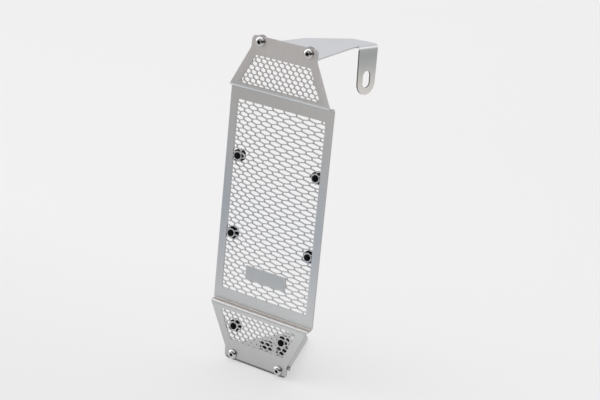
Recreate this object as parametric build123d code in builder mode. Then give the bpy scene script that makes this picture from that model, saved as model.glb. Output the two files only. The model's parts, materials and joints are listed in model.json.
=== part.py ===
from build123d import *
import os
from math import atan, atan2, cos, degrees, radians, sin, tan

# Oil cooler guard for a motorcycle, in millimetres.
# It is modelled upright, x to the right, y to the back and z up, with the middle of the core's front face
# at the origin. At the end it is leaned back until it stands on the lower bracket's ears and round end.

# Sheet metal
sheet = 1.5  # gauge of the guard and of both brackets
bend = 1.0  # inside radius of every fold

# Core panel
core_width = 114.8
fold_height = 105.7  # from the middle of the core to the near face of each shelf
step = 6.2  # how far the wings stand in front of the core

# Wings, measured outwards from their folds
wing_width = 113.2  # at the fold
ear_width = 72.6  # at the bolted end
top_wing_length = 51.4
bottom_wing_length = 54.6
ear_height = 11.3  # from the end of the slanted sides to the bolted end
ear_corner = 4.0
wing_lean = 3.0  # degrees, both bolted ends lean back

# Mesh
web = 1.0  # metal left between two cells
row_pitch = 4.0
narrow_pitch = 4.6  # half the width of a cell at the left of the core
wide_pitch = 7.05  # and at the right
ramp_start = 2  # the widths grow evenly between these two columns
ramp_end = 11
core_mesh_width = 98.6
core_mesh_height = 186.4
first_row = 92.0  # height of the top row of cells
first_column = 1.0  # the first column of webs lies this far outside the mesh area
wing_pitch = 3.285  # half the width of a cell in the wings
wing_mesh_margin = 9.0  # solid border beside the slanted sides
top_mesh_start = 5.2
top_mesh_end = 33.6
top_mesh_cell = (-0.8, 21.3)  # the middle of one cell, which places the others
bottom_mesh_start = 6.0
bottom_mesh_end = 34.7
bottom_mesh_cell = (0.4, 18.9)
smallest_opening = 14.0  # square millimetres, what is cut smaller by the border stays closed

# Bare plate left solid in the core's mesh
plate_width = 46.0
plate_height = 13.4
plate_drop = 70.8

# Screws and nuts, M5
bolt_spacing = 53.6
bolt_margin = 5.3  # from the bolts to the ends of the wings
bolt_hole = 5.5
shank_diameter = 5.0
shank_length = 10.0
head_diameter = 9.5
head_height = 2.75
head_rim = 0.5
head_flat = 4.8
head_knee = (3.95, 1.95)  # radius and height where the dome turns down
shank_chamfer = 0.5
socket_width = 3.0
socket_depth = 1.6
nut_width = 8.0
nut_height = 4.7
nut_chamfer = 0.5
thread_clearance = 0.05

# Rubber bumpers
bumper_hole = 5.2
bumper_neck = 5.0
bumper_head = 6.6
bumper_head_height = 1.8
bumper_rim = 0.5
bumper_knee = (2.3, 1.4)  # radius and height where the dome turns down
bumper_base = 12.0
bumper_base_height = 5.0
bumper_edge = 1.0
bumper_land = 9.2  # solid ring left around the hole in the mesh
core_bumper_spacing = 88.6
upper_bumper_height = 39.0
lower_bumper_height = -37.3
foot_bumper_spacing = 56.0
foot_bumper_distance = 20.3  # from the fold

# Brackets
ear_radius = 6.5
arm_gap = 5.3  # from the upper bolts down to the upper plate
foot_gap = 6.3  # and from the lower bolts up to the lower plate
flange_strip = 4.6  # height of the flange between its ears, above the plate's outer face
slot_width = 10.0
slot_length = 16.2
slot_edge = 6.8  # metal between a slot and the round end

# Upper bracket, its plate as seen from above, each corner with its radius
arm_root_right = 34.0
arm_root_left = -36.0
arm_right_edge = [((31.4, 6.0), 30.0), ((23.1, 73.2), 30.0)]
arm_far_edge = [((26.4, 111.2), 3.0), ((1.7, 108.5), 8.0), ((-26.6, 68.5), 10.0), ((-36.0, 22.0), 30.0)]
tab_turn = 10.7  # degrees, the tab's bend line turned from straight back
tab_start = (22.8, 83.5)
tab_width = 24.8
tab_round_width = 23.6
tab_length = 47.0
tab_lean = 2.0  # degrees, the tab's foot leans out

# Lower bracket, its plate as seen from above
foot_right = 41.0  # both at the fold
foot_left = -35.5
foot_round = 12.0
foot_length = 74.0
cushion_middle = 5.6
cushion_spacing = 19.5
cushion_depth = 18.5

long_cut = 300.0  # longer than any piece

# Each wing's face: x sideways, y outwards from its fold and z towards the front
core_face = Plane.XZ
wing_cos = cos(radians(wing_lean))
wing_sin = sin(radians(wing_lean))
top_wing_face = Plane((0, -step, fold_height), x_dir=(1, 0, 0), z_dir=(0, -wing_cos, wing_sin))
bottom_wing_face = Plane((0, -step, -fold_height), x_dir=(-1, 0, 0), z_dir=(0, -wing_cos, -wing_sin))
top_bolts = top_wing_length - bolt_margin  # distances from the folds
bottom_bolts = bottom_wing_length - bolt_margin


def section_point(face, along, depth=0.0):
    """A point of the section through the middle: along from the fold, depth behind the front face."""
    point = face.from_local_coords((0, along, -depth))
    return (point.Y, point.Z)


def folded_section(plane, points, radii, side):
    """The section of a folded strip: a line with round folds, made one gauge thick on one side."""
    with BuildSketch(plane) as section:
        with BuildLine():
            FilletPolyline(*points, radius=radii)
            offset(amount=sheet, side=side)
        make_face()
    return section.sketch


def cell(left, middle, right, height):
    """The corners of one opening between two upright webs, pointed over and under the middle."""
    slope_left = atan(row_pitch / 3 / (middle - left))
    slope_right = atan(row_pitch / 3 / (right - middle))
    inset_left = web / 2 / cos(slope_left)
    inset_right = web / 2 / cos(slope_right)
    shoulder_left = row_pitch / 3 + web / 2 * tan(slope_left) - inset_left
    shoulder_right = row_pitch / 3 + web / 2 * tan(slope_right) - inset_right
    tip = 2 * row_pitch / 3 - (inset_left + inset_right) / 2
    return [
        Vector(left + web / 2, height + shoulder_left),
        Vector(left + web / 2, height - shoulder_left),
        Vector(middle, height - tip),
        Vector(right - web / 2, height - shoulder_right),
        Vector(right - web / 2, height + shoulder_right),
        Vector(middle, height + tip),
    ]


def kept_inside(points, border):
    """What is left of an outline inside a convex border, both counter-clockwise."""
    for start, end in zip(border, border[1:] + border[:1]):
        inwards = Vector(start.Y - end.Y, end.X - start.X).normalized()
        kept = []
        for here, there in zip(points, points[1:] + points[:1]):
            depth_here = (here - start).dot(inwards)
            depth_there = (there - start).dot(inwards)
            if depth_here >= 0:
                kept.append(here)
            if depth_here * depth_there < 0:
                kept.append(here + (there - here) * (depth_here / (depth_here - depth_there)))
        points = kept
    return points


def openings(cells, border):
    """The faces of the cells, as far as they lie inside the border."""
    outlines = [kept_inside(points, border) for points in cells]
    return [Face(Wire.make_polygon(points)) for points in outlines if len(points) > 2]


def core_openings():
    """Rows of cells in columns that grow wider from left to right, every second column half a step lower."""
    half_width = core_mesh_width / 2
    half_height = core_mesh_height / 2
    columns = [-half_width - first_column]
    while columns[-1] < half_width + wide_pitch:
        ramp = (len(columns) - 1 - ramp_start) / (ramp_end - ramp_start)
        columns.append(columns[-1] + narrow_pitch + (wide_pitch - narrow_pitch) * min(max(ramp, 0), 1))
    rows = int((first_row + half_height) / row_pitch) + 1
    cells = [
        cell(*columns[index - 1 : index + 2], first_row - row * row_pitch)
        for index in range(1, len(columns) - 1)
        for row in range(rows)
        if (row + index) % 2
    ]
    corners = [(-1, -1), (1, -1), (1, 1), (-1, 1)]
    return openings(cells, [Vector(x * half_width, y * half_height) for x, y in corners])


def wing_openings(length, start, end, middle_cell):
    """Even cells, inside a border along the slanted sides of the wing."""
    narrowing = (wing_width - ear_width) / 2 / (length - ear_height)
    near = wing_width / 2 - wing_mesh_margin - start * narrowing
    far = wing_width / 2 - wing_mesh_margin - end * narrowing
    middle, middle_row = middle_cell
    across = int(near / wing_pitch) + 2
    rows_below = int((middle_row - start) / row_pitch) + 1
    rows_above = int((end - middle_row) / row_pitch) + 1
    cells = [
        cell(*[middle + (column + side) * wing_pitch for side in (-1, 0, 1)], middle_row + row * row_pitch)
        for row in range(-rows_below, rows_above + 1)
        for column in range(-across, across + 1)
        if (row + column) % 2 == 0
    ]
    return openings(cells, [Vector(-near, start), Vector(near, start), Vector(far, end), Vector(-far, end)])


def wing_outline(length):
    """A wing flat on its face, narrower towards its bolted end."""
    with BuildSketch() as outline:
        with BuildLine():
            Polyline(
                (0, 0),
                (wing_width / 2, 0),
                (ear_width / 2, length - ear_height),
                (ear_width / 2, length),
                (0, length),
            )
            mirror(about=Plane.YZ)
        make_face()
        fillet(outline.vertices().group_by(Axis.Y)[-1], ear_corner)
    return outline.sketch


def pairs(spacing, *heights):
    """Places on both sides of a panel's middle, at each of the heights."""
    return Locations(*[(side * spacing / 2, height) for height in heights for side in (-1, 1)])


with BuildSketch() as core_cells:
    add(core_openings())
    with Locations((0, -plate_drop)):
        Rectangle(plate_width, plate_height, mode=Mode.SUBTRACT)
    with pairs(core_bumper_spacing, upper_bumper_height, lower_bumper_height):
        Circle(bumper_land / 2, mode=Mode.SUBTRACT)

with BuildSketch() as top_cells:
    add(wing_openings(top_wing_length, top_mesh_start, top_mesh_end, top_mesh_cell))

with BuildSketch() as bottom_cells:
    add(wing_openings(bottom_wing_length, bottom_mesh_start, bottom_mesh_end, bottom_mesh_cell))
    with pairs(foot_bumper_spacing, foot_bumper_distance):
        Circle(bumper_land / 2, mode=Mode.SUBTRACT)

with BuildPart() as guard_sheet:
    sheet_section = folded_section(
        Plane.YZ,
        [
            section_point(bottom_wing_face, bottom_wing_length),
            section_point(bottom_wing_face, 0),
            (0, -fold_height),
            (0, fold_height),
            section_point(top_wing_face, 0),
            section_point(top_wing_face, top_wing_length),
        ],
        [bend + sheet, bend, bend, bend + sheet],
        Side.RIGHT,
    )
    extrude(sheet_section, amount=core_width / 2, both=True)
    with BuildSketch(core_face):
        Rectangle(core_width, 2 * fold_height)
    with BuildSketch(top_wing_face):
        add(wing_outline(top_wing_length))
    with BuildSketch(bottom_wing_face):
        add(wing_outline(bottom_wing_length))
    extrude(amount=2 * (step + sheet), both=True, mode=Mode.INTERSECT)
    for cells, face in ((core_cells, core_face), (top_cells, top_wing_face), (bottom_cells, bottom_wing_face)):
        with BuildSketch(face):
            add([opening for opening in cells.faces() if opening.area > smallest_opening])
        extrude(amount=-2 * sheet, mode=Mode.SUBTRACT)
    with BuildSketch(core_face):
        with pairs(core_bumper_spacing, upper_bumper_height, lower_bumper_height):
            Circle(bumper_hole / 2)
    with BuildSketch(bottom_wing_face):
        with pairs(foot_bumper_spacing, foot_bumper_distance):
            Circle(bumper_hole / 2)
        with pairs(bolt_spacing, bottom_bolts):
            Circle(bolt_hole / 2)
    with BuildSketch(top_wing_face):
        with pairs(bolt_spacing, top_bolts):
            Circle(bolt_hole / 2)
    extrude(amount=-2 * sheet, mode=Mode.SUBTRACT)

# Heights of the lower faces of the upper plate and the upper faces of the lower one
arm_height = top_wing_face.from_local_coords((0, top_bolts, 0)).Z - arm_gap - sheet
foot_height = bottom_wing_face.from_local_coords((0, bottom_bolts, 0)).Z + foot_gap + sheet


def flange_outline(bolts, gap):
    """A flange on its wing's face, with an ear around each bolt, and wide enough to keep the whole plate."""
    with BuildSketch() as outline:
        with Locations((0, bolts - gap - sheet + flange_strip)):
            Rectangle(long_cut, long_cut, align=(Align.CENTER, Align.MAX))
        with pairs(bolt_spacing, bolts):
            Circle(ear_radius)
            Rectangle(2 * ear_radius, bolts, align=(Align.CENTER, Align.MAX))
    return outline.sketch


def flange_start(face, plate_height):
    """Where the back of a wing's flange meets the level of the plate, in the section."""
    along = abs(plate_height - section_point(face, 0, sheet)[1]) / wing_cos
    return section_point(face, along, sheet)


# The upper bracket's plate from above
tab_along = Vector(0, 1).rotate(Axis.Z, -tab_turn)
tab_end = Vector(*tab_start) + tab_along * tab_width
arm_corners = [
    ((arm_root_right, -step), 0),
    *arm_right_edge,
    (tab_start, 0),
    (tab_end, 0),
    *arm_far_edge,
    ((arm_root_left, -step), 0),
]
with BuildSketch() as arm_outline:
    with BuildLine():
        FilletPolyline(
            *[corner for corner, radius in arm_corners],
            radius=[radius for corner, radius in arm_corners],
            close=True,
        )
    make_face()

# The tab's section stands square to its bend line, and its outer face carries its outline
tab_out = Vector(1, 0).rotate(Axis.Z, -tab_turn)
tab_section_plane = Plane(Vector(*tab_start, arm_height + sheet), x_dir=tab_out, z_dir=-tab_along)
tab_corner = tab_section_plane.from_local_coords((bend + sheet, 0, 0))
tab_face = Plane(tab_corner, x_dir=tab_along, z_dir=tab_out.rotate(Axis((0, 0, 0), tab_along), -tab_lean))
with BuildSketch(tab_face) as tab_outline:
    with Locations((tab_width / 2, -bend - sheet)):
        Rectangle(tab_width, sheet, align=(Align.CENTER, Align.MAX))
    with Locations((tab_width / 2, tab_round_width / 2 - tab_length)):
        Circle(tab_round_width / 2)
    make_hull()
    with Locations((tab_width / 2, slot_edge + slot_length / 2 - tab_length)):
        SlotOverall(slot_length, slot_width, rotation=90, mode=Mode.SUBTRACT)

with BuildPart() as upper_bracket:
    arm_section = folded_section(
        Plane.YZ,
        [
            section_point(top_wing_face, top_wing_length + ear_radius, sheet),
            flange_start(top_wing_face, arm_height),
            (long_cut, arm_height),
        ],
        [bend + sheet],
        Side.LEFT,
    )
    extrude(arm_section, amount=long_cut, both=True)
    with BuildSketch(top_wing_face):
        add(flange_outline(top_bolts, arm_gap))
    extrude(amount=long_cut, both=True, mode=Mode.INTERSECT)
    extrude(arm_outline.sketch, amount=long_cut, both=True, mode=Mode.INTERSECT)
    tab_section = folded_section(
        tab_section_plane,
        [(-2 * sheet, 0), (bend + sheet, 0), (bend + sheet + 2 * sheet * sin(radians(tab_lean)), -3 * sheet)],
        [bend + sheet],
        Side.RIGHT,
    )
    extrude(tab_section, amount=-tab_width)
    extrude(tab_outline.sketch, amount=-sheet)
    with BuildSketch(top_wing_face):
        with pairs(bolt_spacing, top_bolts):
            Circle(bolt_hole / 2)
    extrude(amount=-3 * sheet, mode=Mode.SUBTRACT)

# The lower bracket's plate from above, a taper to a round end
with BuildSketch() as foot_outline:
    Polygon((foot_left, -step), (foot_right, -step), (0, foot_length - foot_round), align=None)
    with Locations((0, foot_length - foot_round)):
        Circle(foot_round)
    make_hull()
    with Locations((0, foot_length - slot_edge - slot_length / 2)):
        SlotOverall(slot_length, slot_width, rotation=90, mode=Mode.SUBTRACT)
    with Locations((cushion_middle, cushion_depth)):
        with GridLocations(cushion_spacing, 1, 2, 1):
            Circle(bumper_hole / 2, mode=Mode.SUBTRACT)

with BuildPart() as lower_bracket:
    foot_section = folded_section(
        Plane.YZ,
        [
            section_point(bottom_wing_face, bottom_wing_length + ear_radius, sheet),
            flange_start(bottom_wing_face, foot_height),
            (long_cut, foot_height),
        ],
        [bend + sheet],
        Side.RIGHT,
    )
    extrude(foot_section, amount=long_cut, both=True)
    with BuildSketch(bottom_wing_face):
        add(flange_outline(bottom_bolts, foot_gap))
    extrude(amount=long_cut, both=True, mode=Mode.INTERSECT)
    extrude(foot_outline.sketch, amount=long_cut, both=True, mode=Mode.INTERSECT)
    with BuildSketch(bottom_wing_face):
        with pairs(bolt_spacing, bottom_bolts):
            Circle(bolt_hole / 2)
    extrude(amount=-3 * sheet, mode=Mode.SUBTRACT)


def turned(seat, points):
    """The half profile of a round piece, radius first and then height over the seat."""
    with BuildSketch(Plane(seat.origin, x_dir=seat.x_dir, z_dir=-seat.y_dir)) as profile:
        with BuildLine():
            Polyline(*points, close=True)
        make_face()
    return profile.sketch


def make_screw(seat):
    """A button head screw, its head on the seat and its shank behind it."""
    with BuildPart() as screw:
        head = turned(
            seat,
            [
                (0, head_height),
                (0, -shank_length),
                (shank_diameter / 2 - shank_chamfer, -shank_length),
                (shank_diameter / 2, shank_chamfer - shank_length),
                (shank_diameter / 2, 0),
                (head_diameter / 2, 0),
                (head_diameter / 2, head_rim),
                head_knee,
                (head_flat / 2, head_height),
            ],
        )
        revolve(head, axis=Axis(seat.origin, seat.z_dir))
        with BuildSketch(seat.offset(head_height)):
            RegularPolygon(socket_width / 2, 6, major_radius=False)
        extrude(amount=-socket_depth, mode=Mode.SUBTRACT)
    return screw


def make_nut(seat):
    """A plain hexagon nut on the back of a flange, with both ends turned to a chamfer."""
    corner = nut_width / 2 / cos(radians(30))
    bore = shank_diameter / 2 + thread_clearance
    with BuildPart() as nut:
        with BuildSketch(seat):
            RegularPolygon(nut_width / 2, 6, major_radius=False)
        extrude(amount=-nut_height)
        blank = turned(
            seat,
            [
                (bore, 0),
                (corner - nut_chamfer, 0),
                (corner, -nut_chamfer / 2),
                (corner, nut_chamfer / 2 - nut_height),
                (corner - nut_chamfer, -nut_height),
                (bore, -nut_height),
            ],
        )
        revolve(blank, axis=Axis(seat.origin, seat.z_dir), mode=Mode.INTERSECT)
    return nut


def make_bumper(seat):
    """A push-in rubber bumper: domed head on the seat, neck through the sheet, wide base behind it."""
    base_back = -sheet - bumper_base_height
    with BuildPart() as bumper:
        profile = turned(
            seat,
            [
                (0, bumper_head_height),
                (0, base_back),
                (bumper_base / 2 - bumper_edge, base_back),
                (bumper_base / 2, base_back + bumper_edge),
                (bumper_base / 2, -sheet),
                (bumper_neck / 2, -sheet),
                (bumper_neck / 2, 0),
                (bumper_head / 2, 0),
                (bumper_head / 2, bumper_rim),
                bumper_knee,
            ],
        )
        revolve(profile, axis=Axis(seat.origin, seat.z_dir))
    return bumper


def seat_on(face, along, height, depth=0.0):
    """A place on a panel, or behind it, that looks square out of its front."""
    return Plane(face.from_local_coords((along, height, -depth)), x_dir=face.x_dir, z_dir=face.z_dir)


pieces = {"guard_sheet": guard_sheet, "upper_bracket": upper_bracket, "lower_bracket": lower_bracket}
for side, left_or_right in ((-1, "left"), (1, "right")):
    for level, face, bolts in (("upper", top_wing_face, top_bolts), ("lower", bottom_wing_face, bottom_bolts)):
        place = side * face.x_dir.X * bolt_spacing / 2
        pieces[f"{level}_{left_or_right}_screw"] = make_screw(seat_on(face, place, bolts))
        pieces[f"{level}_{left_or_right}_nut"] = make_nut(seat_on(face, place, bolts, 2 * sheet))
    for level, face, spacing, height in (
        ("upper", core_face, core_bumper_spacing, upper_bumper_height),
        ("middle", core_face, core_bumper_spacing, lower_bumper_height),
        ("foot", bottom_wing_face, foot_bumper_spacing, foot_bumper_distance),
    ):
        place = side * face.x_dir.X * spacing / 2
        pieces[f"{level}_{left_or_right}_bumper"] = make_bumper(seat_on(face, place, height))
    underside = Plane((0, 0, foot_height - sheet), x_dir=(1, 0, 0), z_dir=(0, 0, -1))
    place = cushion_middle + side * cushion_spacing / 2
    pieces[f"{left_or_right}_cushion"] = make_bumper(seat_on(underside, place, -cushion_depth))

# It stands on the back edges of the lower ears and on the end of the lower plate
ear_foot = section_point(bottom_wing_face, bottom_bolts + ear_radius, 2 * sheet)
end_foot = (foot_length, foot_height - sheet)
lean = degrees(atan2(end_foot[1] - ear_foot[1], end_foot[0] - ear_foot[0]))
for piece in pieces.values():
    piece.part.move(Location((0, 0, 0), (-lean, 0, 0)))
whole = Compound([piece.part for piece in pieces.values()]).bounding_box()
for piece in pieces.values():
    piece.part.move(Location((-whole.center().X, -whole.center().Y, -whole.min.Z)))

os.makedirs("parts", exist_ok=True)
for name, piece in pieces.items():
    piece.part.label = name
    export_step(piece.part, f"parts/{name}.step")
print("leans back", round(lean, 2), "degrees, measures", whole.size, "and moved by", whole.center(), whole.min.Z)
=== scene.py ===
import json
from math import atan, atan2, cos, pi, radians, sin, tan

import bmesh
import bpy
from mathutils import Matrix, Vector
from mathutils.geometry import delaunay_2d_cdt


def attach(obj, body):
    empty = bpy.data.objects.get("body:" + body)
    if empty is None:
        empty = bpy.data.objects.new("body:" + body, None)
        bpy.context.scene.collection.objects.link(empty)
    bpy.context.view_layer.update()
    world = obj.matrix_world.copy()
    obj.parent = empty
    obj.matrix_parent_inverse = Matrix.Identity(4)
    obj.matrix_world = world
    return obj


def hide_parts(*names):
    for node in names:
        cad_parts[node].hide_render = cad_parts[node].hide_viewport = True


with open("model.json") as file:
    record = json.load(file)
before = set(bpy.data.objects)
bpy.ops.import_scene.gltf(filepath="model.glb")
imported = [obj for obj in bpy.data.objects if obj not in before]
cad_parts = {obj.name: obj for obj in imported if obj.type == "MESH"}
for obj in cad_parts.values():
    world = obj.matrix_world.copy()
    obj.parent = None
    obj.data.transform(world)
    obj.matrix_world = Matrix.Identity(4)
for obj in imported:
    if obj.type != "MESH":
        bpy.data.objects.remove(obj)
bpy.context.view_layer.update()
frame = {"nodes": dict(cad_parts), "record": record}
scene = bpy.context.scene
mm = 0.001  # pieces are drawn upright in millimetres and then stood up in metres

# Sizes of the folded sheet and its bumpers, first because the finishes and the other pieces are
# set out from them. A side of -1 is the bottom wing or the left, and 1 the top wing or the right.

sheet = {
    "gauge": 1.5,
    "bend": 1.0,
    "foldSteps": 6,
    "weld": 1e-4,
    "sharpAngle": 30,
    "coreWidth": 114.8,
    "foldHeight": 105.7,
    "step": 6.2,  # how far the wings stand in front of the core
    "wingWidth": 113.2,
    "wingLengths": {-1: 54.6, 1: 51.4},
    "wingLean": radians(3.0),
    "earWidth": 72.6,
    "earHeight": 11.3,
    "earCorner": 4.0,
    "waistCorner": 1.5,
    "cornerSteps": 6,
    "boltSpacing": 53.6,
    "boltMargin": 5.3,
    "boltHole": 5.5,
}
plainPlate = {"width": 46.0, "height": 13.4, "drop": 70.8}  # the closed field low in the mesh
bumper = {
    "hole": 5.2,
    "land": 9.2,  # the mesh stays closed this wide around the hole
    "coreSpacing": 88.6,
    "upper": 39.0,
    "middle": -37.3,
    "footSpacing": 56.0,
    "footDistance": 20.3,
    "neck": 5.0,
    "head": 6.6,
    "headHeight": 1.8,
    "headRim": 0.5,
    "headChamfer": 0.15,
    "headSteps": 8,
    "base": 12.0,
    "baseHeight": 5.0,
    "baseChamfer": 0.3,
    "baseEdge": 1.0,
    "edgeSteps": 5,
    "steps": 48,
}

# The guard's own upright axes, found from the face that its upper left bumper turns to the cooler
bumperDepth = sheet["gauge"] + bumper["baseHeight"]
bumperBack = Vector((-bumper["coreSpacing"] / 2, bumperDepth, bumper["upper"]))
coolerFace = next(mount for mount in frame["record"]["mounts"] if mount["name"] == "cooler_face")
lean = atan2(-coolerFace["axis"][2], coolerFace["axis"][1])
leanBack = Matrix.Rotation(-lean, 4, "X")
moved = Matrix.Translation(Vector(coolerFace["pos_m"]) - leanBack @ (bumperBack * mm))
standUp = moved @ leanBack @ Matrix.Scale(mm, 4)
layDown = standUp.inverted()


# Shader maths


class Flow:  # one output socket of a node tree, so that maths on it reads like arithmetic
    def __init__(self, tree, socket=None):
        self.tree = tree
        self.socket = socket

    def node(self, kind, sockets=None, out=0, stops=None, **settings):
        # settings are set first, then a ramp's stops, then the values or links of the sockets
        made = self.tree.nodes.new(kind)
        for name, value in settings.items():
            setattr(made, name, value)
        if stops:
            elements = made.color_ramp.elements
            while len(elements) < len(stops):
                elements.new(0.5)
            for element, (place, colour) in zip(elements, stops):
                element.position = place
                element.color = (*colour, 1)
        for name, value in (sockets or {}).items():
            if isinstance(value, Flow):
                self.tree.links.new(value.socket, made.inputs[name])
            else:
                made.inputs[name].default_value = value
        return Flow(self.tree, made.outputs[out])

    def sister(self, name):  # another output of the same node
        return Flow(self.tree, self.socket.node.outputs[name])

    def maths(self, operation, first, second=0.0):
        return self.node("ShaderNodeMath", {0: first, 1: second}, operation=operation)

    def __add__(self, other):
        return self.maths("ADD", self, other)

    def __radd__(self, other):
        return self.maths("ADD", other, self)

    def __sub__(self, other):
        return self.maths("SUBTRACT", self, other)

    def __rsub__(self, other):
        return self.maths("SUBTRACT", other, self)

    def __mul__(self, other):
        return self.maths("MULTIPLY", self, other)

    def __rmul__(self, other):
        return self.maths("MULTIPLY", other, self)

    def __truediv__(self, other):
        return self.maths("DIVIDE", self, other)

    def __rtruediv__(self, other):
        return self.maths("DIVIDE", other, self)


def clamped(value):
    return value.node("ShaderNodeClamp", {"Value": value})


def size(value):
    return value.maths("ABSOLUTE", value)


def mixed(nodes, share, first, second, blend="MIX"):
    colours = [colour if isinstance(colour, Flow) else (*colour, 1) for colour in (first, second)]
    sockets = {"Factor": share, 6: colours[0], 7: colours[1]}
    return nodes.node("ShaderNodeMix", sockets, out=2, data_type="RGBA", blend_type=blend)


def tonedBy(measure, tones):  # tones are pairs of a measure and a colour
    low, high = tones[0][0], tones[-1][0]
    stops = [((level - low) / (high - low), colour) for level, colour in tones]
    share = clamped((measure - low) / (high - low))
    return measure.node("ShaderNodeValToRGB", {"Fac": share}, stops=stops)


def noise(place, scale, detail, coarseness=0.5):
    sockets = {"Vector": place, "Scale": scale, "Detail": detail, "Roughness": coarseness}
    return place.node("ShaderNodeTexNoise", sockets)


def bumped(height, strength, depth):
    sockets = {"Height": height, "Strength": strength, "Distance": depth}
    return height.node("ShaderNodeBump", sockets)


def newMaterial(name):
    material = bpy.data.materials.new(name)
    material.use_nodes = True
    material.node_tree.nodes.clear()
    return material, Flow(material.node_tree)


def coat(material, nodes, surface):
    output = nodes.tree.nodes.new("ShaderNodeOutputMaterial")
    nodes.tree.links.new(surface.socket, output.inputs["Surface"])
    return material


# Materials

steel = {
    "detail": 3.0,
    "grainAcross": 1.4,  # the brushing's marks in a millimetre
    "grainAlong": 0.018,
    "grainCoarseness": 0.6,
    "grainShade": 0.16,
    "grainBump": 0.12,
    "grainDepth": 0.0002,
    "grainRoughness": 0.12,
    "blotches": 0.026,
    "blotchShade": 0.14,
    "blotchRoughness": 0.1,
    "roughness": 0.34,
    "edgeRoughness": 0.15,  # more on a cut edge
    "foldReach": 1.2,
    "foldRoughness": 0.2,
    "foldPaintedReflection": {"Red": 0.18, "Green": 0.25, "Blue": 0.29},  # how much darker the painted brown reflection in the low fold is
    "plateShade": 0.12,
    "paintedLightRightwards": 0.0008,  # painted light: brighter towards the right, for each millimetre
}
# Colours at heights in millimetres on the upright guard
# The sheet is one steel, so its brightness from height to height is painted light and shade.
sheetPaintedLightTones = [
    # a painted contact shadow along the foot's bottom edge, which also stands for its dark sheared
    # edge
    (-160.2, (0.05, 0.05, 0.05)),
    (-159.2, (0.05, 0.05, 0.05)),
    (-158.6, (0.54, 0.54, 0.535)),
    (-112, (0.655, 0.665, 0.66)),
    (-96, (0.64, 0.655, 0.66)),
    (-10, (0.49, 0.525, 0.57)),
    (75, (0.55, 0.55, 0.545)),
    (104.9, (0.56, 0.55, 0.54)),
    # a painted pale blue highlight on the upper fold's rounding
    (105.9, (0.80, 0.86, 0.90)),
    (107.0, (0.80, 0.86, 0.90)),
    (108.0, (0.57, 0.56, 0.55)),
    (145, (0.71, 0.68, 0.67)),
]
bracketTonesAndPaintedHighlight = [
    (-160, (0.42, 0.42, 0.42)),
    (-100, (0.42, 0.42, 0.42)),
    (99, (0.76, 0.73, 0.70)),
    (108, (0.69, 0.67, 0.635)),
    (118, (0.59, 0.59, 0.56)),
    (130, (0.45, 0.46, 0.45)),
    (138, (0.40, 0.42, 0.41)),
    (143.6, (0.44, 0.455, 0.45)),
    # a painted white highlight along the tab's bend
    (144.8, (0.98, 0.98, 0.98)),
    (145.8, (0.98, 0.98, 0.98)),
    (146.2, (0.55, 0.555, 0.57)),
]
sheetEdgeTones = [(-160, (0.50, 0.49, 0.48)), (158, (0.50, 0.49, 0.48))]
bracketEdgePaintedLightTones = [
    # the tab's cut edges and slot walls painted dark as shade
    (99, (0.13, 0.125, 0.12)),
    (143, (0.13, 0.125, 0.12)),
    # a painted highlight on the edges of the tab's bend
    (143.7, (0.97, 0.97, 0.97)),
    (145.6, (0.97, 0.97, 0.97)),
    # the plate's and flange's cut edges painted dark as shade
    (146.3, (0.2, 0.2, 0.2)),
]
polish = {
    "scuffs": 900.0,
    "detail": 2.0,
    "tones": [(0.3, (0.56, 0.55, 0.54)), (0.7, (0.64, 0.64, 0.64))],
    "socketPaintedShade": (0.012, 0.012, 0.012),
    "roughness": 0.08,
    "scuffRoughness": 0.08,
}
moulded = {
    "pores": 2200.0,
    "poreDetail": 3.0,
    "poreBump": 0.25,
    "poreDepth": 0.0001,
    "poreRoughness": 0.2,
    "bloom": 160.0,
    "bloomDetail": 2.0,
    "tones": [(0.3, (0.003, 0.003, 0.0035)), (0.75, (0.009, 0.009, 0.01))],
    "roughness": 0.45,
    "shine": 0.06,
}


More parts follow.
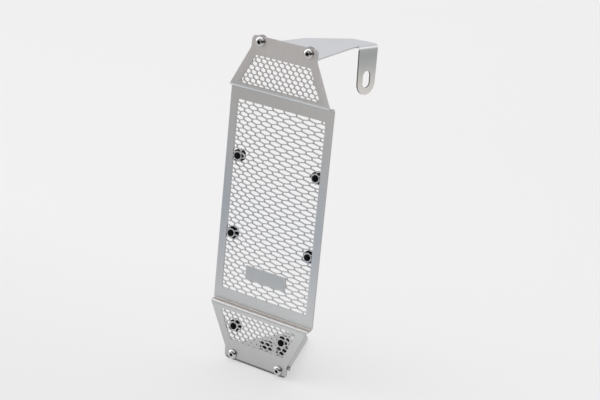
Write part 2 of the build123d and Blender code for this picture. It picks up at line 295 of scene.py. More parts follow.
def satinSteel(name, tones, rougher=0.0, guardPaintedLightAndPlate=0.0):
    # at 1, this paints a darker brown reflection into the low fold, darkens the plain plate and
    # paints the right side lighter
    material, nodes = newMaterial(name)
    place = nodes.node("ShaderNodeTexCoord", out="Object")
    sockets = {"Vector": place, "Location": layDown.to_translation()}
    sockets |= {"Rotation": (lean, 0, 0), "Scale": (1 / mm,) * 3}
    upright = nodes.node("ShaderNodeMapping", sockets)
    brushing = (steel["grainAcross"], steel["grainAcross"], steel["grainAlong"])
    brushed = nodes.node("ShaderNodeMapping", {"Vector": upright, "Scale": brushing})
    grain = noise(brushed, 1.0, steel["detail"], steel["grainCoarseness"])
    blotch = noise(upright, steel["blotches"], steel["detail"])
    across = nodes.node("ShaderNodeSeparateXYZ", {"Vector": upright}, out="X")
    height = across.sister("Z")
    # In the low fold a darker, browner reflection is painted in, as much as atFold
    atFold = clamped(steel["foldReach"] - size(height + sheet["foldHeight"])) * guardPaintedLightAndPlate
    besidePlate = clamped(plainPlate["width"] / 2 - size(across))
    abovePlate = clamped(plainPlate["height"] / 2 - size(height + plainPlate["drop"]))
    atPlate = besidePlate * abovePlate * guardPaintedLightAndPlate
    shade = 1.0 + (grain - 0.5) * steel["grainShade"] + (blotch - 0.5) * steel["blotchShade"]
    # The plain plate is darker, and painted light brightens the guard towards the right
    shade = shade - atPlate * steel["plateShade"] + across * (steel["paintedLightRightwards"] * guardPaintedLightAndPlate)
    darkening = steel["foldPaintedReflection"].items()
    shades = {channel: shade * (1.0 - atFold * darker) for channel, darker in darkening}
    grainAndPaintedLight = nodes.node("ShaderNodeCombineColor", shades)
    colour = mixed(nodes, 1.0, tonedBy(height, tones), grainAndPaintedLight, "MULTIPLY")
    roughness = steel["roughness"] + rougher + atFold * steel["foldRoughness"]
    roughness = roughness + (grain - 0.5) * steel["grainRoughness"]
    roughness = roughness + (blotch - 0.5) * steel["blotchRoughness"]
    bump = bumped(grain, steel["grainBump"], steel["grainDepth"])
    sockets = {"Base Color": colour, "Metallic": 1.0, "Roughness": roughness, "Normal": bump}
    return coat(material, nodes, nodes.node("ShaderNodeBsdfPrincipled", sockets))


def polishedSteel():
    material, nodes = newMaterial("polishedSteel")
    place = nodes.node("ShaderNodeTexCoord", out="Object")
    scuffs = noise(place, polish["scuffs"], polish["detail"])
    tone = nodes.node("ShaderNodeValToRGB", {"Fac": scuffs}, stops=polish["tones"])
    socketShadeMask = nodes.node("ShaderNodeAttribute", out="Fac", attribute_name="socket")
    # the hex socket is painted near black as shade
    colour = mixed(nodes, clamped(socketShadeMask), tone, polish["socketPaintedShade"])
    roughness = polish["roughness"] + scuffs * polish["scuffRoughness"]
    sockets = {"Base Color": colour, "Metallic": 1.0, "Roughness": roughness}
    return coat(material, nodes, nodes.node("ShaderNodeBsdfPrincipled", sockets))


def blackRubber():
    material, nodes = newMaterial("blackRubber")
    place = nodes.node("ShaderNodeTexCoord", out="Object")
    pores = noise(place, moulded["pores"], moulded["poreDetail"])
    bloom = noise(place, moulded["bloom"], moulded["bloomDetail"])
    tone = nodes.node("ShaderNodeValToRGB", {"Fac": bloom}, stops=moulded["tones"])
    roughness = moulded["roughness"] + pores * moulded["poreRoughness"]
    bump = bumped(pores, moulded["poreBump"], moulded["poreDepth"])
    sockets = {"Base Color": tone, "Roughness": roughness, "Normal": bump}
    sockets["Specular IOR Level"] = moulded["shine"]
    return coat(material, nodes, nodes.node("ShaderNodeBsdfPrincipled", sockets))


sheetSteel = satinSteel("satinSheetPaintedLight", sheetPaintedLightTones, guardPaintedLightAndPlate=1.0)
bracketSteel = satinSteel("satinBracketPaintedHighlight", bracketTonesAndPaintedHighlight)
sheetEdge = satinSteel("sheetEdge", sheetEdgeTones, rougher=steel["edgeRoughness"])
bracketEdgePaintedLight = satinSteel("bracketEdgePaintedLight", bracketEdgePaintedLightTones, rougher=steel["edgeRoughness"])
polished = polishedSteel()
rubber = blackRubber()
print("materials made")


# Meshes


def meshObject(name, vertices, faces, material):
    mesh = bpy.data.meshes.new(name)
    mesh.from_pydata([tuple(vertex) for vertex in vertices], [], faces)
    mesh.validate()
    mesh.materials.append(material)
    obj = bpy.data.objects.new(name, mesh)
    scene.collection.objects.link(obj)
    return obj


def bakeModifiers(obj):  # the modifiers' result becomes the plain mesh
    graph = bpy.context.evaluated_depsgraph_get()
    graph.update()
    mesh = bpy.data.meshes.new_from_object(obj.evaluated_get(graph))
    obj.modifiers.clear()
    obj.data = mesh


def weld(mesh, distance, outwards=False):
    edit = bmesh.new()
    edit.from_mesh(mesh)
    bmesh.ops.remove_doubles(edit, verts=edit.verts, dist=distance)
    if outwards:
        bmesh.ops.recalc_face_normals(edit, faces=edit.faces)
    edit.to_mesh(mesh)
    edit.free()


def shadeSmooth(mesh, sharpAngle):
    mesh.polygons.foreach_set("use_smooth", [True] * len(mesh.polygons))
    mesh.set_sharp_from_angle(angle=radians(sharpAngle))
    mesh.update()


def dress(obj, nodes):
    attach(obj, "root")
    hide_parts(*nodes)


# Outlines in millimetres, all counter-clockwise


def rectangle(width, height, drop=0.0):
    corners = (-1, -1), (1, -1), (1, 1), (-1, 1)
    return [Vector((x * width / 2, y * height / 2 - drop)) for x, y in corners]


def around(centre, radius, turns):
    x, y = centre
    return [Vector((x + radius * cos(turn), y + radius * sin(turn))) for turn in turns]


def circle(centre, radius, steps=32):
    return around(centre, radius, [2 * pi * step / steps for step in range(steps)])


def arc(centre, radius, start, end, steps=12):  # from one angle to the other in degrees
    turns = [radians(start + (end - start) * step / steps) for step in range(steps + 1)]
    return around(centre, radius, turns)


def roundedPath(points, radii, steps, closed=False):  # round corners as short straight steps
    path = []
    count = len(points)
    for index, (point, radius) in enumerate(zip(points, radii)):
        if radius == 0 or (not closed and index in (0, count - 1)):
            path.append(point.copy())
            continue
        before = (points[index - 1] - point).normalized()
        after = (points[(index + 1) % count] - point).normalized()
        half = before.angle(after) / 2
        middle = point + (before + after).normalized() * (radius / sin(half))
        start = point + before * (radius / tan(half)) - middle
        end = point + after * (radius / tan(half)) - middle
        turn = start.angle_signed(end)
        for step in range(steps + 1):
            angle = -turn * step / steps
            x = start.x * cos(angle) - start.y * sin(angle)
            y = start.x * sin(angle) + start.y * cos(angle)
            path.append(middle + Vector((x, y)))
    return path


def keptInside(points, border):  # cuts an outline along every side of the border
    for start, end in zip(border, border[1:] + border[:1]):
        inwards = Vector((start.y - end.y, end.x - start.x)).normalized()
        kept = []
        for here, there in zip(points, points[1:] + points[:1]):
            depthHere = (here - start).dot(inwards)
            depthThere = (there - start).dot(inwards)
            if depthHere >= 0:
                kept.append(here)
            if depthHere * depthThere < 0:
                kept.append(here + (there - here) * (depthHere / (depthHere - depthThere)))
        points = kept
    return points


def punchedPanel(outline, holes=(), cells=(), lands=()):
    # flat triangles of the outline: the cells are cut, the lands kept whole and the holes cut last
    loops = [outline, *[cell for cell in cells if len(cell) > 2], *lands, *holes]
    firstLand = len(loops) - len(lands) - len(holes)
    firstHole = len(loops) - len(holes)
    points, faces = [], []
    for loop in loops:
        faces.append(list(range(len(points), len(points) + len(loop))))
        points.extend(loop)
    insideOnly, nearness, namesOrigins = 1, 1e-5, True
    flat, _, triangles, _, _, faceOrigins = delaunay_2d_cdt(
        points, [], faces, insideOnly, nearness, namesOrigins
    )
    kept = []
    for triangle, origins in zip(triangles, faceOrigins):
        inCell = any(0 < origin < firstLand for origin in origins)
        onLand = any(firstLand <= origin < firstHole for origin in origins)
        inHole = any(origin >= firstHole for origin in origins)
        if 0 in origins and not inHole and (onLand or not inCell):
            kept.append(triangle)
    return flat, kept


class Panels:  # the front of one folded piece, gathered panel by panel
    def __init__(self):
        self.vertices = []
        self.faces = []

    def add(self, points, faces, turned=False):
        start = len(self.vertices)
        self.vertices.extend(points)
        for face in faces:
            self.faces.append([start + corner for corner in (reversed(face) if turned else face)])

    def makeSheet(self, name, steelFinish, edgeFinish):  # the gauge goes behind the faces
        obj = meshObject(name, self.vertices, self.faces, steelFinish)
        weld(obj.data, sheet["weld"])
        obj.data.materials.append(edgeFinish)
        solidify = obj.modifiers.new("gauge", "SOLIDIFY")
        solidify.thickness = sheet["gauge"]
        solidify.offset = -1
        solidify.use_even_offset = True
        solidify.material_offset_rim = 1  # the cut edges have the second material
        bakeModifiers(obj)
        shadeSmooth(obj.data, sheet["sharpAngle"])
        obj.data.transform(standUp)
        return obj


# The folded sheet

honeycomb = {
    "web": 0.9,  # between two cells
    "row": 4.0,
    "narrow": 4.6,  # the columns widen from the left, between these two counts of them
    "wide": 7.05,
    "rampStart": 2,
    "rampEnd": 11,
    "width": 98.6,
    "height": 186.4,
    "corner": 2.5,
    "cornerSteps": 5,
    "firstRow": 92.0,  # up from the core's middle
    "firstColumn": 1.0,  # out from the mesh's left edge
    "wingPitch": 3.285,
    "wingMargin": 9.0,
    "wingRows": range(-4, 5),
    "wings": {  # where each wing's mesh starts and ends past the fold, and its middle cell
        -1: {"start": 6.0, "end": 34.7, "cell": (-0.4, 18.9)},
        1: {"start": 5.2, "end": 33.6, "cell": (-0.8, 21.3)},
    },
}


def cellCorners(left, middle, right, height):
    row, half = honeycomb["row"], honeycomb["web"] / 2
    slopes = atan(row / 3 / (middle - left)), atan(row / 3 / (right - middle))
    shoulders = [row / 3 + half * tan(slope) - half / cos(slope) for slope in slopes]
    tip = 2 * row / 3 - half * (1 / cos(slopes[0]) + 1 / cos(slopes[1])) / 2
    corners = [(left + half, shoulders[0]), (left + half, -shoulders[0]), (middle, -tip)]
    corners += [(right - half, -shoulders[1]), (right - half, shoulders[1]), (middle, tip)]
    return [Vector((x, height + y)) for x, y in corners]


def borderedCells(cells, corners):
    border = roundedPath(corners, [honeycomb["corner"]] * 4, honeycomb["cornerSteps"], closed=True)
    return [keptInside(cell, border) for cell in cells]


def coreCells():
    narrow, wide, row = honeycomb["narrow"], honeycomb["wide"], honeycomb["row"]
    rampStart, rampEnd = honeycomb["rampStart"], honeycomb["rampEnd"]
    halfWidth = honeycomb["width"] / 2
    columns = [-halfWidth - honeycomb["firstColumn"]]
    while columns[-1] < halfWidth + wide:
        ramp = (len(columns) - 1 - rampStart) / (rampEnd - rampStart)
        columns.append(columns[-1] + narrow + (wide - narrow) * min(max(ramp, 0), 1))
    columns.insert(0, columns[0] - narrow)
    rows = int((honeycomb["firstRow"] + honeycomb["height"] / 2) / row) + 1
    cells = [
        cellCorners(*columns[column - 1 : column + 2], honeycomb["firstRow"] - level * row)
        for column in range(1, len(columns) - 1)
        for level in range(-1, rows + 1)
        if (level + column) % 2 == 0
    ]
    return borderedCells(cells, rectangle(honeycomb["width"], honeycomb["height"]))


def wingHalfWidth(side, along):
    slant = sheet["wingLengths"][side] - sheet["earHeight"]
    return sheet["wingWidth"] / 2 - (sheet["wingWidth"] - sheet["earWidth"]) / 2 * along / slant


def wingCells(side):
    start, end, (middle, middleRow) = honeycomb["wings"][side].values()
    pitch = honeycomb["wingPitch"]
    across = int(wingHalfWidth(side, start) / pitch)
    cells = []
    for row in honeycomb["wingRows"]:
        for column in range(-across, across + 1):
            if (row + column) % 2 == 0:
                columns = [middle + (column + step) * pitch for step in (-1, 0, 1)]
                cells.append(cellCorners(*columns, middleRow + row * honeycomb["row"]))
    near = wingHalfWidth(side, start) - honeycomb["wingMargin"]
    far = wingHalfWidth(side, end) - honeycomb["wingMargin"]
    corners = (-near, start), (near, start), (far, end), (-far, end)
    return borderedCells(cells, [Vector(corner) for corner in corners])


def alongWing(side):  # in the sheet's section, where x is depth and y is height
    return Vector((sin(sheet["wingLean"]), side * cos(sheet["wingLean"])))


def wingFold(side):
    return Vector((-sheet["step"], side * sheet["foldHeight"]))


def sheetPath():  # the front of the folded sheet in its section, from the foot to the top
    ends = [wingFold(side) + alongWing(side) * sheet["wingLengths"][side] for side in (-1, 1)]
    core = [Vector((0, side * sheet["foldHeight"])) for side in (-1, 1)]
    points = [ends[0], wingFold(-1), *core, wingFold(1), ends[1]]
    inner = sheet["bend"]
    outer = sheet["bend"] + sheet["gauge"]
    return roundedPath(points, [0, outer, inner, inner, outer, 0], sheet["foldSteps"])


def bumperCuts(places):
    return [[circle(place, bumper[cut] / 2) for place in places] for cut in ("land", "hole")]


def addFold(panels, side, strip):  # gives the start of the wing's flat part and its half width
    halves = []
    for point in strip:
        along = max(abs(point.y) - sheet["foldHeight"], 0)
        inCore = point.x > -1e-6
        halves.append(sheet["coreWidth"] / 2 if inCore else wingHalfWidth(side, along))
    rows = zip(strip, halves)
    points = [Vector((x * half, point.x, point.y)) for point, half in rows for x in (-1, 1)]
    quads = [[2 * row, 2 * row + 1, 2 * row + 3, 2 * row + 2] for row in range(len(strip) - 1)]
    panels.add(points, quads, turned=side < 0)
    return strip[-1], halves[-1]


def addCore(panels, top):
    across, levels = bumper["coreSpacing"] / 2, (bumper["upper"], bumper["middle"])
    lands, holes = bumperCuts([(side * across, level) for side in (-1, 1) for level in levels])
    lands.append(rectangle(plainPlate["width"], plainPlate["height"], plainPlate["drop"]))
    outline = rectangle(sheet["coreWidth"], 2 * top)
    flat, triangles = punchedPanel(outline, holes, coreCells(), lands)
    panels.add([Vector((point.x, 0, point.y)) for point in flat], triangles)


def addWing(panels, side, start, half):
    outwards = alongWing(side)
    begin = (start - wingFold(side)).dot(outwards)
    length = sheet["wingLengths"][side]
    ear = sheet["earWidth"] / 2
    waist = length - sheet["earHeight"]
    corners = [(-half, begin), (half, begin), (ear, waist), (ear, length)]
    corners += [(-ear, length), (-ear, waist)]
    waistCorner, earCorner = sheet["waistCorner"], sheet["earCorner"]
    radii = [0, 0, waistCorner, earCorner, earCorner, waistCorner]
    corners = [Vector(corner) for corner in corners]
    outline = roundedPath(corners, radii, sheet["cornerSteps"], closed=True)
    across, bolts = sheet["boltSpacing"] / 2, length - sheet["boltMargin"]
    holes = [circle((x * across, bolts), sheet["boltHole"] / 2) for x in (-1, 1)]
    lands = []
    if side < 0:
        places = [(x * bumper["footSpacing"] / 2, bumper["footDistance"]) for x in (-1, 1)]
        lands, footHoles = bumperCuts(places)
        holes += footHoles
    flat, triangles = punchedPanel(outline, holes, wingCells(side), lands)
    placed = [wingFold(side) + outwards * point.y for point in flat]
    points = [Vector((point.x, spot.x, spot.y)) for point, spot in zip(flat, placed)]
    panels.add(points, triangles, turned=side < 0)


def makeGuardSheet():
    path = sheetPath()
    middle = 3 + 2 * sheet["foldSteps"]  # where the core's flat part lies in the path
    strips = {-1: list(reversed(path[1:middle])), 1: path[middle:-1]}
    panels = Panels()
    starts = {side: addFold(panels, side, strip) for side, strip in strips.items()}
    addCore(panels, strips[1][0].y)
    for side, (start, half) in starts.items():
        addWing(panels, side, start, half)
    guard = panels.makeSheet("guardSheet", sheetSteel, sheetEdge)
    dress(guard, ["guard_sheet"])
    return guard


guardSheet = makeGuardSheet()
print("guard sheet made,", len(guardSheet.data.polygons), "faces")

# Screws, nuts, bumpers and cushions, each shape turned about its own axis with its seat at height 0

screw = {
    "headWidth": 9.5,
    "headHeight": 2.75,
    "headRim": 0.4,
    "headChamfer": 0.12,
    "flat": 4.8,
    "domeRings": 8,
    "socket": 3.0,
    "socketDepth": 1.6,
    "socketCone": 0.6,
    "socketDraft": 0.98,
    "lipDepth": 0.25,
    "lipWidth": 0.35,
    "lipEdge": 0.02,
    "lipShare": 0.93,  # of the flat
    "shank": 5.0,
    "shankFillet": 0.05,
    "plainShank": 2.9,
    "length": 10.0,
    "threadStart": 3.0,
    "threadEnd": 0.6,
    "threadPitch": 0.8,
    "threadDepth": 0.35,
    "ringsPerPitch": 6,
    "tipLength": 0.45,
    "tipChamfer": 0.4,
    "steps": 48,
    "spins": [0.35, 0.9, 0.1, 0.6],
}
nut = {
    "width": 8.0,
    "height": 4.7,
    "chamfer": 0.8,
    "chamferSlope": 1.9,
    "chamferRings": [0, 0.12, 0.25, 0.4, 0.6, 1.0],
    "boreChamfer": 0.4,
    "steps": 72,
    "spin": pi / 6,
}
turning = {
    "axis": 0.01,  # the radius of a ring on the axis, which the weld closes
    "weld": 2e-5,  # in metres
    "sharpAngle": 32,
}


def turnedShape(name, rings, steps, material):
    # each ring is a height and either a radius or a rule that gives the radius at an angle
    vertices, faces = [], []
    for height, radius in rings:
        for step in range(steps):
            angle = 2 * pi * step / steps
            reach = radius(angle, height) if callable(radius) else radius
            vertices.append(Vector((reach * cos(angle), reach * sin(angle), height)))
    for ring in range(len(rings) - 1):
        for step in range(steps):
            after = (step + 1) % steps
            low, high = ring * steps, (ring + 1) * steps
            faces.append([low + after, high + after, high + step, low + step])
    return meshObject(name, vertices, faces, material)


def hexagon(width):
    return lambda angle, height: width / 2 / cos((angle % (pi / 3)) - pi / 6)


def threadRadius(angle, height):
    phase = (height / screw["threadPitch"] + angle / (2 * pi)) % 1
    return screw["shank"] / 2 - screw["threadDepth"] * abs(2 * phase - 1)


def makeScrew():
    top, flat, wide = screw["headHeight"], screw["flat"] / 2, screw["headWidth"] / 2
    shank, length = screw["shank"] / 2, screw["length"]
    rim, chamfer = screw["headRim"], screw["headChamfer"]
    bottom = top - screw["socketDepth"]
    rings = [
        (bottom - screw["socketCone"], turning["axis"]),
        (bottom, hexagon(screw["socket"] * screw["socketDraft"])),
        (top - screw["lipDepth"], hexagon(screw["socket"])),
        (top - screw["lipEdge"], hexagon(screw["socket"] + screw["lipWidth"])),
        (top, flat * screw["lipShare"]),
    ]
    socketRings = 3  # the first ones, which are painted dark as shade in the socket
    for ring in range(screw["domeRings"] + 1):
        turn = pi / 2 * ring / screw["domeRings"]
        rings.append((rim + (top - rim) * cos(turn), flat + (wide - flat) * sin(turn)))
    rings += [(chamfer, wide), (0, wide - chamfer)]
    rings += [(0, shank + screw["shankFillet"]), (-screw["plainShank"], shank)]
    threaded = length - screw["threadStart"] - screw["threadEnd"]
    count = int(threaded / screw["threadPitch"] * screw["ringsPerPitch"])
    rise = screw["threadPitch"] / screw["ringsPerPitch"]
    rings += [(-screw["threadStart"] - rise * ring, threadRadius) for ring in range(count)]
    rings += [(screw["tipLength"] - length, shank), (-length, shank - screw["tipChamfer"])]
    rings += [(-length, turning["axis"])]
    shape = turnedShape("screwShape", rings, screw["steps"], polished)
    inside, count = socketRings * screw["steps"], len(shape.data.vertices)
    socket = shape.data.attributes.new("socket", "FLOAT", "POINT")
    socket.data.foreach_set("value", [float(index < inside) for index in range(count)])
    return shape


def makeNut():
    corner = nut["width"] / 2 / cos(pi / 6)
    flats = hexagon(nut["width"])

    def chamfered(angle, height):
        edge = min(-height, height + nut["height"])
        return min(flats(angle, height), corner - nut["chamfer"] + edge * nut["chamferSlope"])

    depths = nut["chamferRings"]
    levels = [-depth for depth in depths] + [depth - nut["height"] for depth in reversed(depths)]
    bore, chamfer = screw["shank"] / 2, nut["boreChamfer"]
    rings = [(-chamfer, bore), (0, bore + chamfer)] + [(level, chamfered) for level in levels]
    rings += [(-nut["height"], bore + chamfer), (chamfer - nut["height"], bore)]
    return turnedShape("nutShape", rings, nut["steps"], polished)


def makeBumper():  # the cushions have the same shape
    top, half, rim = bumper["headHeight"], bumper["head"] / 2, bumper["headRim"]
    neck, wide, edge = bumper["neck"] / 2, bumper["base"] / 2, bumper["baseEdge"]
    chamfer, skirt = bumper["headChamfer"], bumper["baseChamfer"]
    front = -sheet["gauge"]
    back = front - bumper["baseHeight"]
    rings = [(top, turning["axis"])]
    for step in range(1, bumper["headSteps"] + 1):
        turn = pi / 2 * step / bumper["headSteps"]
        rings.append((rim + (top - rim) * cos(turn), half * sin(turn)))
    rings += [(chamfer, half), (0, half - chamfer), (0, neck), (front, neck)]
    rings += [(front, wide - skirt), (front - skirt, wide)]
    for step in range(bumper["edgeSteps"] + 1):
        turn = pi / 2 * step / bumper["edgeSteps"]
        rings.append((back + edge - edge * sin(turn), wide - edge + edge * cos(turn)))
    rings.append((back, turning["axis"]))
    return turnedShape("bumperShape", rings, bumper["steps"], rubber)


def seat(place, outwards):
    return Vector(place), Vector(outwards)


def wingSeat(side, across, along, depth=0.0):
    down = alongWing(side)
    outwards = Vector((0, -abs(down.y), side * down.x))
    place = wingFold(side) + down * along
    return seat(Vector((across, *place)) - outwards * depth, outwards)


def boltSeat(side, across, depth=0.0):
    along = sheet["wingLengths"][side] - sheet["boltMargin"]
    return wingSeat(side, across * sheet["boltSpacing"] / 2, along, depth)


def placingTree():  # one copy of a shape on each point, turned by the point's own attributes
    tree = bpy.data.node_groups.new("placePieces", "GeometryNodeTree")
    face = tree.interface
    face.new_socket("Geometry", in_out="INPUT", socket_type="NodeSocketGeometry")
    face.new_socket("Shape", in_out="INPUT", socket_type="NodeSocketObject")
    face.new_socket("Material", in_out="INPUT", socket_type="NodeSocketMaterial")
    face.new_socket("Geometry", in_out="OUTPUT", socket_type="NodeSocketGeometry")
    nodes, links = tree.nodes, tree.links
    start = nodes.new("NodeGroupInput")
    end = nodes.new("NodeGroupOutput")
    outwards = nodes.new("GeometryNodeInputNamedAttribute")
    outwards.data_type = "FLOAT_VECTOR"
    outwards.inputs["Name"].default_value = "outwards"
    spin = nodes.new("GeometryNodeInputNamedAttribute")
    spin.data_type = "FLOAT"
    spin.inputs["Name"].default_value = "spin"
    spun = nodes.new("ShaderNodeCombineXYZ")
    aim = nodes.new("FunctionNodeAlignRotationToVector")
    aim.axis = "Z"
    turn = nodes.new("FunctionNodeRotateRotation")
    turn.rotation_space = "LOCAL"
    info = nodes.new("GeometryNodeObjectInfo")
    instance = nodes.new("GeometryNodeInstanceOnPoints")
    realize = nodes.new("GeometryNodeRealizeInstances")
    paint = nodes.new("GeometryNodeSetMaterial")
    links.new(start.outputs["Geometry"], instance.inputs["Points"])
    links.new(start.outputs["Shape"], info.inputs["Object"])
    links.new(info.outputs["Geometry"], instance.inputs["Instance"])
    links.new(outwards.outputs["Attribute"], aim.inputs["Vector"])
    links.new(aim.outputs["Rotation"], turn.inputs["Rotation"])
    links.new(spin.outputs["Attribute"], spun.inputs["Z"])
    links.new(spun.outputs["Vector"], turn.inputs["Rotate By"])
    links.new(turn.outputs["Rotation"], instance.inputs["Rotation"])
    links.new(instance.outputs["Instances"], realize.inputs["Geometry"])
    links.new(realize.outputs["Geometry"], paint.inputs["Geometry"])
    links.new(start.outputs["Material"], paint.inputs["Material"])
    links.new(paint.outputs["Geometry"], end.inputs["Geometry"])
    return tree


placing = placingTree()


def placeAll(name, shape, seats, spins, material, nodes):
    points = meshObject(name, [place for place, outwards in seats], [], material)
    facing = points.data.attributes.new("outwards", "FLOAT_VECTOR", "POINT")
    facing.data.foreach_set("vector", [value for place, outwards in seats for value in outwards])
    spin = points.data.attributes.new("spin", "FLOAT", "POINT")
    spin.data.foreach_set("value", spins)
    modifier = points.modifiers.new("placing", "NODES")
    modifier.node_group = placing
    sockets = placing.interface.items_tree
    inputs = {item.name: item.identifier for item in sockets if item.in_out == "INPUT"}
    modifier[inputs["Shape"]] = shape
    modifier[inputs["Material"]] = material
    bakeModifiers(points)
    points.data.transform(standUp)
    bpy.data.objects.remove(shape)
    weld(points.data, turning["weld"], outwards=True)
    shadeSmooth(points.data, turning["sharpAngle"])
    dress(points, nodes)


sideWords = {-1: "left", 1: "right"}
levelWords = {-1: "lower", 1: "upper"}
bolts = [(level, side) for level in (1, -1) for side in (-1, 1)]
boltNames = [f"{levelWords[level]}_{sideWords[side]}" for level, side in bolts]
boltSeats = [boltSeat(*bolt) for bolt in bolts]
nutSeats = [boltSeat(*bolt, 2 * sheet["gauge"]) for bolt in bolts]
screwNodes = [f"{name}_screw" for name in boltNames]
nutNodes = [f"{name}_nut" for name in boltNames]
placeAll("screws", makeScrew(), boltSeats, screw["spins"], polished, screwNodes)
placeAll("nuts", makeNut(), nutSeats, [nut["spin"]] * 4, polished, nutNodes)

bumperSeats, bumperNodes = [], []
for side, word in sideWords.items():
    for level in ("upper", "middle"):
        bumperSeats.append(seat((side * bumper["coreSpacing"] / 2, 0, bumper[level]), (0, -1, 0)))
        bumperNodes.append(f"{level}_{word}_bumper")
    bumperSeats.append(wingSeat(-1, side * bumper["footSpacing"] / 2, bumper["footDistance"]))
    bumperNodes.append(f"foot_{word}_bumper")
placeAll("bumpers", makeBumper(), bumperSeats, [0.0] * 6, rubber, bumperNodes)

cushion = {
    "middle": 5.6,
    "spacing": 19.5,
    "depth": 18.5,
    "gap": 6.3,  # from the low bolts up to the lower bracket's plate
}
cushionHeight = boltSeats[-1][0].z + cushion["gap"]
cushionSeats = []
for side in sideWords:
    across = cushion["middle"] + side * cushion["spacing"] / 2
    cushionSeats.append(seat((across, cushion["depth"], cushionHeight), (0, 0, -1)))
cushionNodes = [f"{word}_cushion" for word in sideWords.values()]
placeAll("cushions", makeBumper(), cushionSeats, [0.0] * 2, rubber, cushionNodes)
print("screws, nuts and rubber made")

# The upper bracket: a flange behind the top wing, a plate that runs back and a tab bent down

bracket = {
    "gap": 5.3,  # from the bolts down to the plate
    "strip": 4.6,  # the flange's height between its ears
    "earRadius": 6.5,
    "left": -36.0,
    "right": 34.0,
    "narrowing": 0.2131,  # how fast the right side comes in
    "rightEdge": [((31.4, 6.0), 30.0), ((23.1, 73.2), 30.0)],  # corners and their radii
    "farEdge": [
        ((26.4, 111.2), 3.0),
        ((1.7, 108.5), 8.0),
        ((-26.6, 68.5), 10.0),
        ((-36.0, 22.0), 30.0),
    ],
    "tabStart": (22.8, 83.5),
    "tabTurn": radians(10.7),
    "tabLean": radians(2.0),
    "tabWidth": 24.8,
    "tabRound": 23.6,
    "tabRoundSteps": 20,
    "tabLength": 47.0,
    "slotWidth": 10.0,
    "slotLength": 16.2,
    "slotEdge": 6.8,
}


def bracketRight(depth):
    return bracket["right"] - (depth + sheet["step"]) * bracket["narrowing"]


def addFlange(panels, underside):  # with the bend below it, and gives the depth where the bend ends
    turns = sheet["foldSteps"]
    up = alongWing(1)
    flangeFoot = wingFold(1) + Vector((up.y, -up.x)) * sheet["gauge"]
    bolts = sheet["wingLengths"][1] - sheet["boltMargin"]
    corner = flangeFoot + up * ((underside - flangeFoot.y) / up.y)
    backwards = Vector((1, 0))
    bendPath = [flangeFoot + up * bolts, corner, corner + backwards]
    fold = roundedPath(bendPath, [0, sheet["bend"] + sheet["gauge"], 0], turns)[1:-1]
    begin = (fold[0] - flangeFoot).dot(up)
    strip = bolts - bracket["gap"] - sheet["gauge"] + bracket["strip"]
    reach, across = bracket["earRadius"], sheet["boltSpacing"] / 2
    left, right = bracket["left"], bracketRight(fold[0].x)
    outline = [Vector((left, begin)), Vector((right, begin)), Vector((right, strip))]
    outline += arc((across, bolts), reach, 0, 180)
    outline += [Vector((across - reach, strip)), Vector((reach - across, strip))]
    outline += arc((-across, bolts), reach, 0, 180)
    outline += [Vector((-across - reach, strip)), Vector((left, strip))]
    holes = [circle((side * across, bolts), sheet["boltHole"] / 2) for side in (-1, 1)]
    flat, triangles = punchedPanel(outline, holes)
    panels.add([Vector((point.x, *(flangeFoot + up * point.y))) for point in flat], triangles)
    points = [Vector((x, *point)) for point in fold for x in (left, bracketRight(point.x))]
    quads = [[2 * row, 2 * row + 2, 2 * row + 3, 2 * row + 1] for row in range(turns)]
    panels.add(points, quads)
    return fold[-1].x


def addPlate(panels, underside, depth, bendStart, bendEnd):
    corners = [((bracketRight(depth), depth), 0), *bracket["rightEdge"]]
    corners += [(bendStart.xy, 0), (bendEnd.xy, 0)]
    corners += [*bracket["farEdge"], ((bracket["left"], depth), 0)]
    points = [Vector(point) for point, radius in corners]
    radii = [radius for point, radius in corners]
    flat, triangles = punchedPanel(roundedPath(points, radii, sheet["cornerSteps"], closed=True))
    panels.add([Vector((point.x, point.y, underside)) for point in flat], triangles, turned=True)


def addTab(panels, bendStart, along, out, sweep, outer):
    turns, bend, width = sheet["foldSteps"], sheet["bend"], bracket["tabWidth"]
    rows = []
    for step in range(turns + 1):
        angle = sweep * step / turns
        fallen = Vector((0, 0, bend * (1 - cos(angle))))
        rows.append(bendStart + out * bend * sin(angle) - fallen)
    points = [row + along * reach for row in rows for reach in (0, width)]
    quads = [[2 * row, 2 * row + 1, 2 * row + 3, 2 * row + 2] for row in range(turns)]
    panels.add(points, quads)
    shoulder = outer * tan(sweep / 2)
    half, rounding, slot = width / 2, bracket["tabRound"] / 2, bracket["slotWidth"] / 2
    foot = bracket["tabLength"] - rounding
    middle = bracket["tabLength"] - bracket["slotEdge"] - bracket["slotLength"] / 2
    straight = bracket["slotLength"] / 2 - slot
    outline = [Vector((0, shoulder)), Vector((width, shoulder))]
    outline += arc((half, foot), rounding, 0, 180, bracket["tabRoundSteps"])
    hole = arc((half, middle + straight), slot, 0, 180)
    hole += arc((half, middle - straight), slot, 180, 360)
    flat, triangles = punchedPanel(outline, [hole])
    down = out * sin(bracket["tabLean"]) - Vector((0, 0, cos(bracket["tabLean"])))
    points = [rows[-1] + along * point.x + down * (point.y - shoulder) for point in flat]
    panels.add(points, triangles)


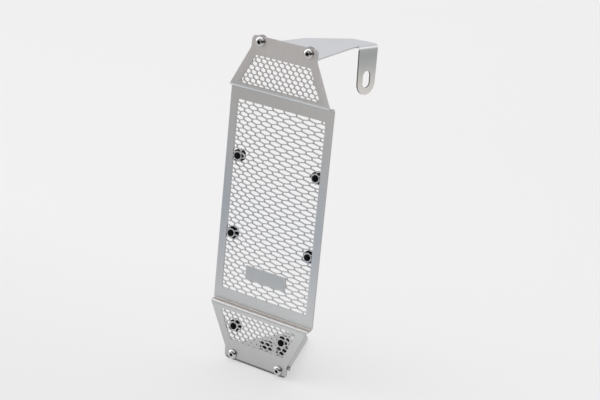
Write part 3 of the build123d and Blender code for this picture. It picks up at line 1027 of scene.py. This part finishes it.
def makeUpperBracket():
    outer = sheet["bend"] + sheet["gauge"]
    underside = boltSeats[0][0].z - bracket["gap"] - sheet["gauge"]
    along = Vector((sin(bracket["tabTurn"]), cos(bracket["tabTurn"]), 0))
    out = Vector((along.y, -along.x, 0))
    sweep = pi / 2 - bracket["tabLean"]
    bendStart = Vector((*bracket["tabStart"], underside)) + out * (outer - outer * tan(sweep / 2))
    bendEnd = bendStart + along * bracket["tabWidth"]
    panels = Panels()
    depth = addFlange(panels, underside)
    addPlate(panels, underside, depth, bendStart, bendEnd)
    addTab(panels, bendStart, along, out, sweep, outer)
    piece = panels.makeSheet("upperBracket", bracketSteel, bracketEdgePaintedLight)
    dress(piece, ["upper_bracket"])


makeUpperBracket()

# The lower bracket keeps its shape and gets the finish
for materialSlot in frame["nodes"]["lower_bracket"].material_slots:
    materialSlot.material = bracketSteel
print("brackets made")

# Floor, light and camera

studio = {
    "floorSize": 12.0,
    "floorTonesAndPaintedShade": [  # at depths in metres, darker towards the front as painted shade
        (-0.45, (0.80, 0.80, 0.80)),
        (0.05, (0.872, 0.868, 0.87)),
        (0.5, (0.86, 0.855, 0.855)),
    ],
    "caught": 0.40,  # the share of the floor's brightness that shadows can darken
    "dimmed": 0.99,  # for the light that reaches it
    "frontTone": (0.42, 0.41, 0.40),
    "backTone": (0.98, 0.98, 1.0),
    "frontToBack": (-0.6, 0.6),
    "skyTone": (0.80, 0.80, 0.82),
    "skyStart": (0.25, 0.9),
    "patches": [
        {  # the dark end of the room, which the bright screws mirror
            "towards": (0.66, -0.70, 0.24),
            "edge": (0.38, 0.60),
            "top": (0.50, 0.68),
            "tone": (0.012, 0.012, 0.012),
        },
        {  # a window on the left
            "towards": (-0.93, -0.22, 0.32),
            "edge": (0.84, 0.94),
            "tone": (2.6, 2.6, 2.6),
        },
    ],
    "lampPower": 14.0,
    "lampSize": 2.4,
    "lampPlace": (-0.7, 0.4, 2.1),
    "lampAim": (0, 0, 0.1),
}
view = {  # the photo's view, worked out on the upright guard and stood up with it
    "place": (861.1, -1260.3, 494.7),
    "ahead": (-0.5246, 0.7957, -0.3029),
    "right": (0.8143, 0.5727, 0.0941),
    "lens": 103.97,
    "sensor": 36,
    "shiftRight": 0.0001,
}


def makeFloor():
    material, nodes = newMaterial("paleFloor")
    cameraRay = nodes.node("ShaderNodeLightPath", out="Is Camera Ray")
    seen = cameraRay + cameraRay.sister("Is Glossy Ray") + cameraRay.sister("Is Transmission Ray")
    place = nodes.node("ShaderNodeTexCoord", out="Object")
    depth = nodes.node("ShaderNodeSeparateXYZ", {"Vector": place}, out="Y")
    tone = tonedBy(depth, studio["floorTonesAndPaintedShade"])
    caught = studio["caught"]
    dimmed = mixed(nodes, 1.0, tone, (caught * studio["dimmed"],) * 3, "MULTIPLY")
    lit = nodes.node("ShaderNodeBsdfDiffuse", {"Color": dimmed})
    glow = nodes.node("ShaderNodeEmission", {"Color": tone, "Strength": 1 - caught})
    shown = nodes.node("ShaderNodeAddShader", {0: lit, 1: glow})
    plain = nodes.node("ShaderNodeBsdfDiffuse", {"Color": tone})
    coat(material, nodes, nodes.node("ShaderNodeMixShader", {0: clamped(seen), 1: plain, 2: shown}))
    corners = [corner.to_3d() for corner in rectangle(studio["floorSize"], studio["floorSize"])]
    meshObject("floor", corners, [[0, 1, 2, 3]], material)


def makeWorld():
    world = bpy.data.worlds.new("studio")
    scene.world = world
    world.use_nodes = True
    world.node_tree.nodes.clear()
    nodes = Flow(world.node_tree)
    direction = nodes.node("ShaderNodeTexCoord", out="Generated")
    back = nodes.node("ShaderNodeSeparateXYZ", {"Vector": direction}, out="Y")
    up = back.sister("Z")

    def eased(value, low, high):
        sockets = {"Value": value, "From Min": low, "From Max": high}
        return nodes.node("ShaderNodeMapRange", sockets, interpolation_type="SMOOTHSTEP")

    backShare = eased(back, *studio["frontToBack"])
    light = mixed(nodes, backShare, studio["frontTone"], studio["backTone"])
    light = mixed(nodes, eased(up, *studio["skyStart"]), light, studio["skyTone"])
    for patch in studio["patches"]:
        sockets = {0: direction, 1: Vector(patch["towards"]).normalized()}
        near = nodes.node("ShaderNodeVectorMath", sockets, out="Value", operation="DOT_PRODUCT")
        share = eased(near, *patch["edge"])
        if "top" in patch:
            share = share * (1.0 - eased(up, *patch["top"]))
        light = mixed(nodes, share, light, patch["tone"])
    background = nodes.node("ShaderNodeBackground", {"Color": light, "Strength": 1.0})
    output = nodes.tree.nodes.new("ShaderNodeOutputWorld")
    nodes.tree.links.new(background.socket, output.inputs["Surface"])


def makeLamp():
    light = bpy.data.lights.new("softLamp", "AREA")
    light.shape = "DISK"
    light.size = studio["lampSize"]
    light.energy = studio["lampPower"]
    lamp = bpy.data.objects.new("softLamp", light)
    scene.collection.objects.link(lamp)
    place = Vector(studio["lampPlace"])
    lamp.location = place
    lamp.rotation_euler = (Vector(studio["lampAim"]) - place).to_track_quat("-Z", "Y").to_euler()


def makeCamera():
    lens = bpy.data.cameras.new("camera")
    lens.lens = view["lens"]
    lens.sensor_width = view["sensor"]
    lens.shift_x = view["shiftRight"]
    camera = bpy.data.objects.new("camera", lens)
    scene.collection.objects.link(camera)
    ways = [leanBack.to_3x3() @ Vector(view[way]) for way in ("ahead", "right")]
    ahead, right = [way.normalized() for way in ways]
    right = (right - ahead * right.dot(ahead)).normalized()
    turn = Matrix((right, right.cross(ahead), -ahead)).transposed()
    camera.location = standUp @ Vector(view["place"])
    camera.rotation_euler = turn.to_euler()
    scene.camera = camera


makeFloor()
makeWorld()
makeLamp()
makeCamera()
scene.view_settings.view_transform = "Standard"
print("floor, light and camera made")
